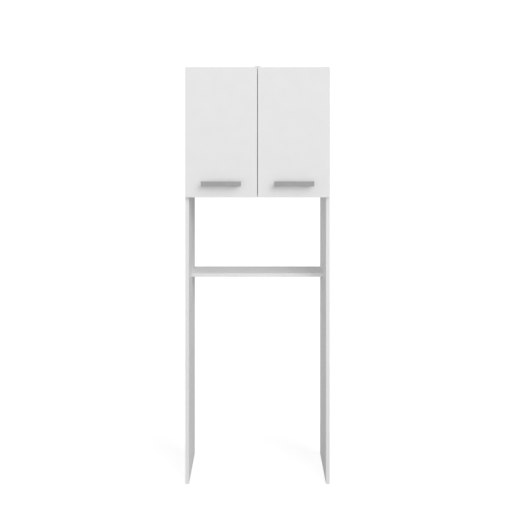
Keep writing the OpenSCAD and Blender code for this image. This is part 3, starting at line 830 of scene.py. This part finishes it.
WOOD_SCREW = CrossScrew(head_d=5.6 * MM, head_h=1.4 * MM, shank_d=3.0 * MM, length=12 * MM)
BRACKET_SCREW = CrossScrew(head_d=6.6 * MM, head_h=1.4 * MM, shank_d=3.5 * MM, length=12 * MM)


# ---------------------------------------------------------------- sub-assemblies


@dataclass
class Carcass:
    """The fixed boards, their edging, joint hardware, back panel, pins and glides."""

    edge_round: float = 0.6 * MM
    board_nodes: tuple[str, ...] = ("cabinet_top", "cabinet_bottom", "inner_shelf", "open_shelf")

    def build(self) -> None:
        """Dresses the boards and hardware, and makes the rounded edging."""
        dress(WHITE_BOARD_FOOT, "left_side", "right_side")
        dress(WHITE_BOARD_REAR, *self.board_nodes)
        dress(BACK_BOARD, "back_panel")
        dress(ZINC, "back_panel_nails", "cam_locks", "glide_nails")
        dress(NICKEL, "cam_bolts", "shelf_pins")
        dress(WHITE_PLASTIC, "cam_caps", "floor_glides")
        dress(BEECH, "wooden_dowels")
        self.edging("side_edging", cut_hinges=True)
        self.edging("shelf_edging", cut_hinges=False)

    def edging(self, node: str, cut_hinges: bool) -> None:
        """Makes the edging strips of one node with rounded front corners.

        Args:
            node: the node of the strips.
            cut_hinges: whether room for the hinges' knuckles is cut.
        """
        bm = bmesh.new()
        rounded: list[BMEdge] = []
        for low, high in solids(node):
            verts = add_block(bm, low, high)
            front = {v for v in verts if abs(v.co.y - low.y) < NEAR}
            rounded += [e for e in bm.edges if set(e.verts) <= front]
        round_edges(bm, rounded, self.edge_round)
        mesh = to_mesh(bm, node)
        if cut_hinges:
            mesh = carve(mesh, rods(knuckle_rooms()))
        place(mesh, f"rounded_{node}", EDGING, "root", "edging_strip", (node,))


# room for a hinge's knuckle: its radius, and how far it reaches past the pin's ends
KNUCKLE_ROOM_R = 2.3 * MM
KNUCKLE_ROOM_BELOW = 1.0 * MM
KNUCKLE_ROOM_ABOVE = 0.3 * MM


def knuckle_rooms() -> list[tuple[Vector, Vector, float]]:
    """Round rooms that the boards leave for the hinges' knuckles.

    Returns:
        Start, end and radius of each room.
    """
    rooms = []
    for side in Side:
        for low, high in solids(f"{side.word}_hinge_pins"):
            spot = middle((low, high))
            joint = next(j for j in frame["joints"] if j["child"] == f"{side.word}_door")
            start = Vector((spot.x, joint["pos_m"][1], low.z - KNUCKLE_ROOM_BELOW))
            end = Vector((spot.x, joint["pos_m"][1], high.z + KNUCKLE_ROOM_ABOVE))
            rooms.append((start, end, KNUCKLE_ROOM_R))
    return rooms


@dataclass
class WallBracket:
    """The bent steel angle on the cabinet top, and its two screws."""

    thickness: float = 2.0 * MM
    bend_r: float = 3.0 * MM
    corner_r: float = 5.0 * MM
    corner_steps: int = 6
    wall_hole_r: float = 2.75 * MM
    foot_hole_r: float = 1.8 * MM
    # how far the drills go past the holes' middles, each way
    drill_reach: float = 4.0 * MM
    bend_steps: int = 8

    def build(self) -> None:
        """Bends a flat strip into the bracket, drills it and adds the screws."""
        low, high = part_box("wall_bracket")
        seats = seats_of("bracket_screws", 2, 1.0, BRACKET_SCREW.head_h)
        mesh = to_mesh(self.bent_strip(low, high), "bracket")
        wall = next(m for m in frame["record"]["mounts"] if m["name"] == "wall_screw_hole")
        hole = Vector(wall["pos_m"])
        reach = Vector((0.0, self.drill_reach, 0.0))
        drills = [(hole - reach, hole + reach, self.wall_hole_r)]
        for seat, out in seats:
            reach = out * self.drill_reach
            drills.append((seat - reach, seat + reach, self.foot_hole_r))
        mesh = carve(mesh, rods(drills))
        # the bracket's coat has painted shade in its colour, darker than its own pale grey
        place(mesh, "bent_wall_bracket", WHITE_STEEL_WITH_PAINTED_SHADE, "root", "white_steel", ("wall_bracket",))
        place(BRACKET_SCREW.batch(seats), "bracket_cross_screws", NICKEL, "root", "hinge_steel",
              ("bracket_screws",))

    def bent_strip(self, low: Vector, high: Vector) -> BMesh:
        """The bracket without its holes.

        Args:
            low: lowest corner of the bracket's box.
            high: highest corner of the bracket's box.

        Returns:
            Its bmesh.
        """
        centre_x = (high.x + low.x) / 2
        foot = high.y - low.y - self.bend_r
        rise = high.z - low.z - self.bend_r
        # the sheet's lower and rear face is the one laid out flat
        arc = math.pi / 2 * self.bend_r
        length = foot + arc + rise
        bm = bmesh.new()
        place_flat = Matrix.Translation((0, length / 2, 0)) @ Matrix.Diagonal(
            (high.x - low.x, length, 1, 1))
        bmesh.ops.create_grid(bm, x_segments=1, y_segments=1, size=0.5, matrix=place_flat)
        bmesh.ops.bevel(bm, geom=bm.verts[:], offset=self.corner_r, offset_type="OFFSET",
                        segments=self.corner_steps, profile=0.5, affect="VERTICES",
                        material=-1)
        for step in range(self.bend_steps + 1):
            cut = foot + arc * step / self.bend_steps
            bmesh.ops.bisect_plane(bm, geom=bm.verts[:] + bm.edges[:] + bm.faces[:],
                                   plane_co=(0, cut, 0), plane_no=(0, 1, 0))
        for vert in bm.verts:
            along = vert.co.y
            if along <= foot:
                spot = (low.y + along, low.z)
            elif along >= foot + arc:
                spot = (high.y, low.z + self.bend_r + along - foot - arc)
            else:
                angle = (along - foot) / self.bend_r
                spot = (high.y - self.bend_r + self.bend_r * math.sin(angle),
                        low.z + self.bend_r - self.bend_r * math.cos(angle))
            vert.co = Vector((centre_x + vert.co.x, *spot))
        # the laid out face has to look down and back, because the thickness goes behind it
        bmesh.ops.recalc_face_normals(bm, faces=bm.faces)
        first = min(bm.faces, key=lambda face: face.calc_center_median().y)
        if first.normal.z > 0:
            bmesh.ops.reverse_faces(bm, faces=bm.faces)
        bmesh.ops.solidify(bm, geom=bm.faces[:], thickness=self.thickness)
        return bm


@dataclass
class MagneticCatch:
    """The double catch under the cabinet top: housing, screws and the two magnets."""

    pole_t: float = 1.2 * MM
    # how far the magnets stay behind the poles' front edges
    setback: float = 0.6 * MM
    edge_round: float = 0.25 * MM

    def build(self) -> None:
        """Dresses the housing and makes each magnet as a block between two steel poles."""
        dress(WHITE_PLASTIC, "magnetic_catch")
        seats = seats_of("catch_screws", 2, -1.0, WOOD_SCREW.head_h)
        place(WOOD_SCREW.batch(seats), "catch_cross_screws", NICKEL, "root", "hinge_steel",
              ("catch_screws",))
        poles, blocks = bmesh.new(), bmesh.new()
        for low, high in solids("catch_magnets"):
            lift = Vector((0, 0, self.pole_t))
            setback = Vector((0, self.setback, 0))
            add_block(poles, low, Vector((high.x, high.y, low.z)) + lift)
            add_block(poles, Vector((low.x, low.y, high.z)) - lift, high)
            add_block(blocks, low + lift + setback, high - lift)
        for bm in (poles, blocks):
            round_edges(bm, bm.edges[:], self.edge_round, 2)
        place(to_mesh(blocks, "blocks"), "catch_magnet_blocks", FERRITE, "root", "magnet",
              ("catch_magnets",))
        place(to_mesh(poles, "poles"), "catch_pole_plates", NICKEL, "root", "hinge_steel")


@dataclass
class Door:
    """One door with its edging, handle, hinge leaves, screws, buffer and strike plate."""

    side: Side
    edge_round: float = 0.6 * MM
    handle_round: float = 0.9 * MM
    handle_bar_t: float = 6.0 * MM
    foot_w: float = 12.0 * MM
    thread_r: float = 2.05 * MM
    thread_l: float = 9.5 * MM
    # how far cutters go past the door's faces
    cut_reach: float = 2.0 * MM
    buffer_steps: int = 8
    buffer_sides: int = 32
    # the buffer's upright rim, as a share of its height
    buffer_rim: float = 0.25
    # below 1 this makes the dome squarer than a half ball
    buffer_fullness: float = 0.6
    body: str = field(init=False)

    def __post_init__(self) -> None:
        """Works out the body that the door's pieces ride on."""
        self.body = f"{self.side.word}_door"

    def node(self, name: str) -> str:
        """Full name of one of the door's nodes."""
        return f"{self.side.word}_{name}"

    def build(self) -> None:
        """Dresses and makes everything that belongs to the door."""
        dress(WHITE_BOARD, self.node("door"))
        dress(NICKEL, self.node("door_leaves"), self.node("strike_plate"),
              self.node("cabinet_leaves"), self.node("hinge_pins"))
        self.edging()
        self.handle()
        self.screws()
        self.buffer()

    def edging(self) -> None:
        """Makes the strip round the door, with rounded outer edges."""
        low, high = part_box(self.node("door_edging"))
        inner_low, inner_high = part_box(self.node("door"))
        bm = bmesh.new()
        add_block(bm, low, high)
        round_edges(bm, bm.edges[:], self.edge_round)
        mesh = to_mesh(bm, "edging")
        bm = bmesh.new()
        reach = Vector((0.0, self.cut_reach, 0.0))
        add_block(bm, inner_low - reach, inner_high + reach)
        mesh = carve(mesh, to_mesh(bm, "core"))
        mesh = carve(mesh, rods(knuckle_rooms()))
        place(mesh, self.node("rounded_door_edging"), EDGING, self.body, "edging_strip",
              (self.node("door_edging"),))

    def handle(self) -> None:
        """Makes the flat bar and its two feet as one rounded casting."""
        low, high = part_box(self.node("handle"))
        spots = sorted(middle(b).x for b in solids(self.node("handle_screws")))
        z_mid = (low.z + high.z) / 2
        half = self.foot_w / 2
        back = low.y + self.handle_bar_t
        bm = bmesh.new()
        add_block(bm, low, Vector((high.x, back, high.z)))
        cuts = [((x + s * half, 0, 0), (1, 0, 0)) for x in spots for s in (-1, 1)]
        cuts += [((0, 0, z_mid + s * half), (0, 0, 1)) for s in (-1, 1)]
        for spot, normal in cuts:
            bmesh.ops.bisect_plane(bm, geom=bm.verts[:] + bm.edges[:] + bm.faces[:],
                                   plane_co=spot, plane_no=normal)
        for x in spots:
            foot = [f for f in bm.faces
                    if f.normal.y > FACING and abs(f.calc_center_median().x - x) < half
                    and abs(f.calc_center_median().z - z_mid) < half]
            made = bmesh.ops.extrude_face_region(bm, geom=foot)
            moved = [g for g in made["geom"] if isinstance(g, BMVert)]
            bmesh.ops.translate(bm, verts=moved, vec=(0, high.y - back, 0))
            bmesh.ops.delete(bm, geom=foot, context="FACES_ONLY")
        bmesh.ops.dissolve_limit(bm, angle_limit=math.radians(1), verts=bm.verts[:],
                                 edges=bm.edges[:])
        # the feet's ends stay square, because they stand flat on the door
        rounded = [e for e in sharp_edges(bm) if any(high.y - v.co.y > NEAR for v in e.verts)]
        round_edges(bm, rounded, self.handle_round)
        mesh = to_mesh(bm, "handle")
        drills = [(Vector((x, high.y - self.thread_l, z_mid)), Vector((x, high.y + MM, z_mid)),
                   self.thread_r) for x in spots]
        mesh = carve(mesh, rods(drills))
        place(mesh, self.node("bar_handle"), HANDLE_METAL, self.body, "handle_metal",
              (self.node("handle"),))

    def screws(self) -> None:
        """Makes the hinge, strike and handle screws."""
        low, high = solids(self.node("handle_screws"))[0]
        head_h = 2.2 * MM
        machine = CrossScrew(head_d=8 * MM, head_h=head_h, shank_d=4 * MM,
                             length=high.y - low.y - head_h, pitch=0.7 * MM)
        rows = (("cabinet_leaf_screws", "wing_cross_screws", WOOD_SCREW, 0, "root"),
                ("door_leaf_screws", "leaf_cross_screws", WOOD_SCREW, 1, self.body),
                ("strike_screw", "strike_cross_screw", WOOD_SCREW, 1, self.body),
                ("handle_screws", "handle_cross_screws", machine, 1, self.body))
        for node, name, screw, axis, body in rows:
            # the wings' heads look at the cabinet's middle, the others' at the wall
            outwards = -self.side.value if axis == 0 else 1.0
            seats = seats_of(self.node(node), axis, outwards, screw.head_h)
            place(screw.batch(seats), self.node(name), NICKEL, body, "hinge_steel",
                  (self.node(node),))

    def buffer(self) -> None:
        """Makes the stick-on buffer as a low dome."""
        low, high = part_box(self.node("door_buffer"))
        radius, height = (high.x - low.x) / 2, high.y - low.y
        profile = [(0.0, 0.0), (radius, 0.0)]
        for step in range(self.buffer_steps):
            angle = math.pi / 2 * step / self.buffer_steps
            rise = self.buffer_rim + (1 - self.buffer_rim) * math.sin(angle)
            profile.append((radius * math.cos(angle) ** self.buffer_fullness, height * rise))
        bm = spun([*profile, (0.0, height)], self.buffer_sides)
        centre = middle((low, high))
        bmesh.ops.transform(bm, verts=bm.verts, matrix=Matrix.Translation(
            (centre.x, low.y, centre.z)) @ Matrix.Rotation(-math.pi / 2, 4, "X"))
        place(to_mesh(bm, "buffer"), self.node("domed_buffer"), VINYL, self.body,
              "buffer_rubber", (self.node("door_buffer"),))


# ---------------------------------------------------------------- studio


@dataclass
class Studio:
    """White room, a soft key light from the upper right in front, a rear fill and a camera."""

    # height above the floor, and distance from the sides' front edges
    eye_height: float = 1.5054
    eye_distance: float = 2.5346
    lens_mm: float = 42.6
    sensor_mm: float = 36.0
    # shift of the frame, as a share of its width
    rise: float = -0.2617
    # the surroundings' strength from behind, and what is added in front and on the left
    ambient: float = 0.365
    ambient_front: float = 0.53
    ambient_left: float = 0.17
    key_strength: float = 1.2
    key_way: tuple[float, float, float] = (0.85, -1.0, 0.9)
    key_angle_deg: float = 45.0
    rear_strength: float = 1.4
    rear_way: tuple[float, float, float] = (0.0, 1.0, 0.0)
    rear_angle_deg: float = 10.0
    # the backdrop's brightness to the eye, a little past white
    backdrop: float = 1.05
    floor_half: float = 2.5
    # what the floor throws back at the rack, and what the eye sees of shadows on it
    floor_bounce: str = "CCCCCC"
    floor_shadow: str = "A0A0A0"
    floor_glow: float = 0.8

    def build(self) -> None:
        """Makes the world, floor, lights and camera."""
        self.world()
        self.floor()
        self.sun("key", self.key_strength, self.key_angle_deg, self.key_way)
        # level from behind and without gloss, so that it reaches only what faces the wall
        rear = self.sun("rear_fill", self.rear_strength, self.rear_angle_deg, self.rear_way)
        rear.visible_glossy = False
        self.camera()
        bpy.context.scene.view_settings.view_transform = "Standard"

    def world(self) -> None:
        """White surroundings to the eye; as a light they are brighter from the front."""
        made = bpy.data.worlds.new("white_room")
        bpy.context.scene.world = made
        made.use_nodes = True
        tree = made.node_tree
        tree.nodes.clear()
        way = add_node(tree, "TexCoord").outputs["Generated"]
        parts = add_node(tree, "SeparateXYZ", {"Vector": way}).outputs
        front = add_node(tree, "MapRange",
                         {"Value": parts["Y"], "From Min": -1.0, "From Max": 0.0,
                          "To Min": self.ambient + self.ambient_front, "To Max": self.ambient})
        fill = add_node(tree, "MapRange",
                        {"Value": parts["X"], "From Min": -1.0, "From Max": 1.0,
                         "To Min": self.ambient_left, "To Max": -self.ambient_left})
        glow = add_node(tree, "Math", {0: front, 1: fill}, operation="ADD")
        room = add_node(tree, "Background", {"Color": linear(WHITE), "Strength": glow})
        plain = add_node(tree, "Background", {"Color": linear(WHITE), "Strength": self.backdrop})
        ray = add_node(tree, "LightPath").outputs["Is Camera Ray"]
        both = add_node(tree, "MixShader", {0: ray, 1: room, 2: plain})
        add_node(tree, "OutputWorld", {"Surface": both})

    def floor(self) -> None:
        """Wide white floor that keeps only a faint shadow under the feet."""
        bm = bmesh.new()
        bmesh.ops.create_grid(bm, x_segments=1, y_segments=1, size=self.floor_half)
        mesh = to_mesh(bm, "floor")
        floor = bpy.data.objects.new("studio_floor", mesh)
        bpy.context.scene.collection.objects.link(floor)
        made = bpy.data.materials.new("white studio floor")
        made.use_nodes = True
        tree = made.node_tree
        tree.nodes.clear()
        matt = add_node(tree, "BsdfDiffuse", {"Color": linear(self.floor_bounce)})
        faint = add_node(tree, "BsdfDiffuse", {"Color": linear(self.floor_shadow)})
        glow = add_node(tree, "Emission", {"Color": linear(WHITE), "Strength": self.floor_glow})
        seen = add_node(tree, "AddShader", {0: glow, 1: faint})
        ray = add_node(tree, "LightPath").outputs["Is Camera Ray"]
        both = add_node(tree, "MixShader", {0: ray, 1: matt, 2: seen})
        add_node(tree, "OutputMaterial", {"Surface": both})
        mesh.materials.append(made)

    def sun(self, name: str, strength: float, angle_deg: float,
            way: tuple[float, float, float]) -> Object:
        """Adds a soft distant light.

        Args:
            name: the lamp's name.
            strength: its irradiance in watts per square metre.
            angle_deg: how wide it looks, which sets how soft its shadows are.
            way: the direction from the rack to the lamp.

        Returns:
            The lamp.
        """
        data = bpy.data.lights.new(name, "SUN")
        data.energy, data.angle = strength, math.radians(angle_deg)
        lamp = bpy.data.objects.new(name, data)
        bpy.context.scene.collection.objects.link(lamp)
        lamp.rotation_mode = "QUATERNION"
        lamp.rotation_quaternion = Vector(way).to_track_quat("Z", "Y")
        return lamp

    def camera(self) -> None:
        """Level camera in front of the rack, at eye height, its frame shifted down."""
        data = bpy.data.cameras.new("camera")
        data.lens, data.sensor_width, data.shift_y = self.lens_mm, self.sensor_mm, self.rise
        eye = bpy.data.objects.new("camera", data)
        bpy.context.scene.collection.objects.link(eye)
        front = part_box("side_edging")[0].y
        eye.location = (0.0, front - self.eye_distance, self.eye_height)
        eye.rotation_euler = (math.pi / 2, 0.0, 0.0)
        bpy.context.scene.camera = eye


def main() -> None:
    """Builds the rack's sub-assemblies and the studio in order."""
    logging.basicConfig(level=logging.INFO, format="%(message)s")
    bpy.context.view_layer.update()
    builders: list[Callable[[], None]] = [
        Studio().build, Carcass().build, WallBracket().build, MagneticCatch().build,
        Door(Side.LEFT).build, Door(Side.RIGHT).build]
    for build in builders:
        build()


if __name__ == "__main__":
    main()
